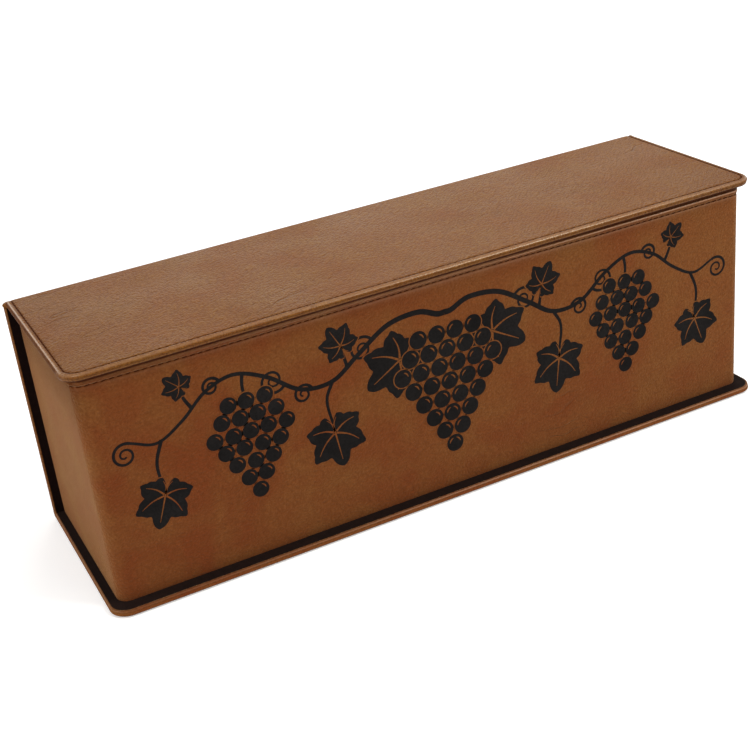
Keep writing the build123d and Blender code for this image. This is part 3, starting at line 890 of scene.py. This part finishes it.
def fillFlat(outline, layer, ink, hub=None):
    # a fan from the hub, or quads between a ribbon's two sides; mirrored if it isn't in the middle
    y = box["trayFront"] - (layer + 1) * vine["layer"]
    points, faces = inks[ink]
    for flip in (1, -1):
        first, n = len(points), len(outline)
        points += [(flip * x, y, z) for x, z in outline]
        if hub is None:
            made = [(first + i, first + i + 1, first + n - 2 - i, first + n - 1 - i)
                    for i in range(n // 2 - 1)]
        else:
            points.append((flip * hub[0], y, hub[1]))
            made = [(first + i, first + (i + 1) % n, first + n) for i in range(n)]
        faces += made if flip < 0 else [face[::-1] for face in made]
        if hub is not None and abs(hub[0]) < 0.01:
            break


def drawTendril(x, z, start, size, way):
    t = np.linspace(0, 1, vine["curlPoints"])
    a = np.radians(start + 90 * way) - way * t * 2 * vine["tendrilTurns"] * math.pi
    reach = size * (1 - vine["tendrilShrink"] * t)
    inwards = math.radians(start - 90 * way)
    cx, cz = x + size * math.cos(inwards), z + size * math.sin(inwards)
    curl = np.column_stack([cx + reach * np.cos(a), cz + reach * np.sin(a)])
    fillFlat(tapered(curl, vine["tendrilWidth"]), layer=0.5, ink="burnt")


def drawLeaf(x, z, size, turn):
    fillFlat(leafPoints(x, z, size + vine["leafEdge"], turn), layer=1, ink="bare", hub=(x, z))
    fillFlat(leafPoints(x, z, size, turn), layer=2, ink="burnt", hub=(x, z))
    count = vine["veinPoints"]
    arch = vine["veinBow"] * size * np.sin(np.linspace(0, math.pi, count))
    for angle, reach in vine["lobes"][::2]:
        for way in (-1, 1) if angle else (1,):
            a = math.radians(turn + way * angle)
            start = vine["veinStart"] if angle else vine["midribStart"]
            t = np.linspace(start, vine["veinEnd"], count) * size * reach
            bow = arch * way * (angle > 0)
            vein = np.column_stack([x + t * math.cos(a) - bow * math.sin(a),
                                    z + t * math.sin(a) + bow * math.cos(a)])
            widths = np.linspace(*vine["veinWidth"], count) * size / vine["veinSize"]
            fillFlat(ribbon(vein, widths), layer=3, ink="bare")


def drawGrape(x, z, size):
    fillFlat(disc(x, z, size + vine["grapeEdge"]), layer=4, ink="bare", hub=(x, z))
    fillFlat(disc(x, z, size), layer=5, ink="burnt", hub=(x, z))
    glint, count = vine["glint"], vine["veinPoints"]
    a = np.radians(np.linspace(*glint["angles"], count))
    arc = np.column_stack([x + glint["reach"] * size * np.cos(a), z + glint["reach"] * size * np.sin(a)])
    widths = glint["width"] * size * np.sin(np.linspace(*glint["taper"], count))
    fillFlat(ribbon(arc, widths), layer=6, ink="bare")


fillFlat(tapered(smoothLine(vine["stem"], steps=10), vine["stemWidth"]), layer=0, ink="burnt")
for tendril in vine["tendrils"]:
    drawTendril(*tendril)
for stalk in vine["stalks"]:
    fillFlat(tapered(smoothLine(stalk, steps=6), vine["stalkWidth"]), layer=-0.5, ink="burnt")
for leaf in vine["leaves"]:
    drawLeaf(*leaf)
random.seed(11)
acrossStep, downStep = vine["grapeSteps"]
loose = vine["grapeStray"]
for x, z, size, rows in vine["bunches"]:
    for k, count in enumerate(rows):
        for i in range(count):
            gx = x + (i - (count - 1) / 2) * acrossStep * size
            gz = z - k * downStep * size
            if x:   # the bunch in the middle is even
                gx += random.uniform(-loose, loose)
                gz += random.uniform(-loose, loose)
            if x or gx > -0.01:   # the mirrored half makes the others
                drawGrape(gx, gz, size)
for ink, material in (("burnt", engraving), ("bare", trayLeather)):
    makePiece("vine" + ink.capitalize(), *inks[ink], material, "tan_leatherette", "box")
print("front engraved")

# Cradle: the CAD block with its edges worn soft by the flock
cradleLook = {"voxel": 1.3, "smooth": 4}
cradleMesh = nodes["bottle_cradle"].data.copy()
foamCradle = bpy.data.objects.new("foamCradle", cradleMesh)
scene.collection.objects.link(foamCradle)
cradleMesh.materials.clear()
cradleMesh.materials.append(flock)
remesh = foamCradle.modifiers.new("remesh", "REMESH")
remesh.mode = "VOXEL"
remesh.voxel_size = cradleLook["voxel"] * mm
soften = foamCradle.modifiers.new("soften", "SMOOTH")
soften.iterations = cradleLook["smooth"]
depsgraph = bpy.context.evaluated_depsgraph_get()
softMesh = bpy.data.meshes.new_from_object(foamCradle.evaluated_get(depsgraph))
foamCradle.modifiers.clear()
foamCradle.data = softMesh
for poly in softMesh.polygons:
    poly.use_smooth = True
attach(foamCradle, "box")
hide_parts("bottle_cradle")
print("cradle made,", len(softMesh.polygons), "faces")

# Floor, lights and camera, in metres
studio = {
    "floorReach": 4.0, "floorDrop": 0.0002, "floorColor": (0.80, 0.83, 0.93),
    "floorGlow": (0.7, 2.2, 0.36, 1.0),   # from this far out to that, and how bright at each
    "worldLevel": 0.36, "lampColor": (1.0, 0.95, 0.78),
    "lamps": [
        # name, position, what it points at, size, watts
        ("overhead", (0.62, -0.58, 1.10), (0.1, 0.0, 0.1), (0.42, 0.42), 10.0),
        ("left", (-1.3, -0.1, 0.36), (-0.1, 0.0, 0.06), (0.9, 0.7), 10.0),
        ("front", (0.85, -1.5, 0.85), (0.0, 0.0, 0.06), (1.1, 0.7), 8.0),
        ("behind", (0.38, 1.9, 1.15), (0.0, 0.0, 0.12), (2.5, 1.3), 14.5),
        ("middle", (0.78, 1.95, 1.10), (0.0, 0.0, 0.12), (0.7, 0.9), 8.0),
        ("spark", (-0.64, -0.13, 2.52), (-0.17, -0.05, 0.12), (0.4, 1.0), 12.0),
    ],
}


def seenPlainly(tree):
    # one where the thing itself is seen, nothing where it only lights the box
    rays = addNode(tree, "ShaderNodeLightPath").outputs
    mirrored = mathNode(tree, "MAXIMUM", rays["Is Glossy Ray"], rays["Is Transmission Ray"])
    return mathNode(tree, "MAXIMUM", rays["Is Camera Ray"], mirrored)


floorMesh = bpy.data.meshes.new("floor")
floorMesh.from_pydata([(x * studio["floorReach"], y * studio["floorReach"], -studio["floorDrop"])
                       for x, y in ((-1, -1), (1, -1), (1, 1), (-1, 1))], [], [(0, 1, 2, 3)])
floor = bpy.data.objects.new("floor", floorMesh)
scene.collection.objects.link(floor)
paper, tree, shader, where = newMaterial("paperSweep", roughness=1.0, specular=0.0)
feed(tree, shader["Base Color"], studio["floorColor"])
shader["Emission Color"].default_value = (1, 1, 1, 1)
far = addNode(tree, "ShaderNodeVectorMath", operation="LENGTH")
feed(tree, far.inputs[0], where)
glow = spread(tree, far.outputs["Value"], *studio["floorGlow"])
feed(tree, shader["Emission Strength"], mathNode(tree, "MULTIPLY", seenPlainly(tree), glow))
floorMesh.materials.append(paper)

world = bpy.data.worlds.new("studioWorld")
scene.world = world
world.use_nodes = True
tree = world.node_tree
background = tree.nodes["Background"]
background.inputs["Color"].default_value = (1, 1, 1, 1)
level = spread(tree, seenPlainly(tree), 0.0, 1.0, studio["worldLevel"], 1.0)
feed(tree, background.inputs["Strength"], level)

for name, place, aim, size, watts in studio["lamps"]:
    lamp = bpy.data.lights.new(name, "AREA")
    lamp.shape = "RECTANGLE"
    lamp.size, lamp.size_y = size
    lamp.energy = watts
    lamp.color = studio["lampColor"]
    holder = bpy.data.objects.new(name, lamp)
    holder.location = place
    holder.rotation_euler = (Vector(aim) - Vector(place)).to_track_quat("-Z", "Y").to_euler()
    scene.collection.objects.link(holder)

view = {"place": (-0.26555, -0.55677, 0.35133), "ahead": (0.36407, 0.81941, -0.44275),
        "up": (0.28344, 0.35535, 0.89072), "lens": 64.63, "sensor": 36}
ahead = Vector(view["ahead"]).normalized()
right = ahead.cross(Vector(view["up"])).normalized()
upward = right.cross(ahead)
camera = bpy.data.objects.new("camera", bpy.data.cameras.new("camera"))
camera.data.sensor_width = view["sensor"]
camera.data.lens = view["lens"]
facing = Matrix((right, upward, -ahead)).transposed().to_4x4()
camera.matrix_world = Matrix.Translation(view["place"]) @ facing
scene.collection.objects.link(camera)
scene.camera = camera
scene.view_settings.view_transform = "Standard"
print("studio set")
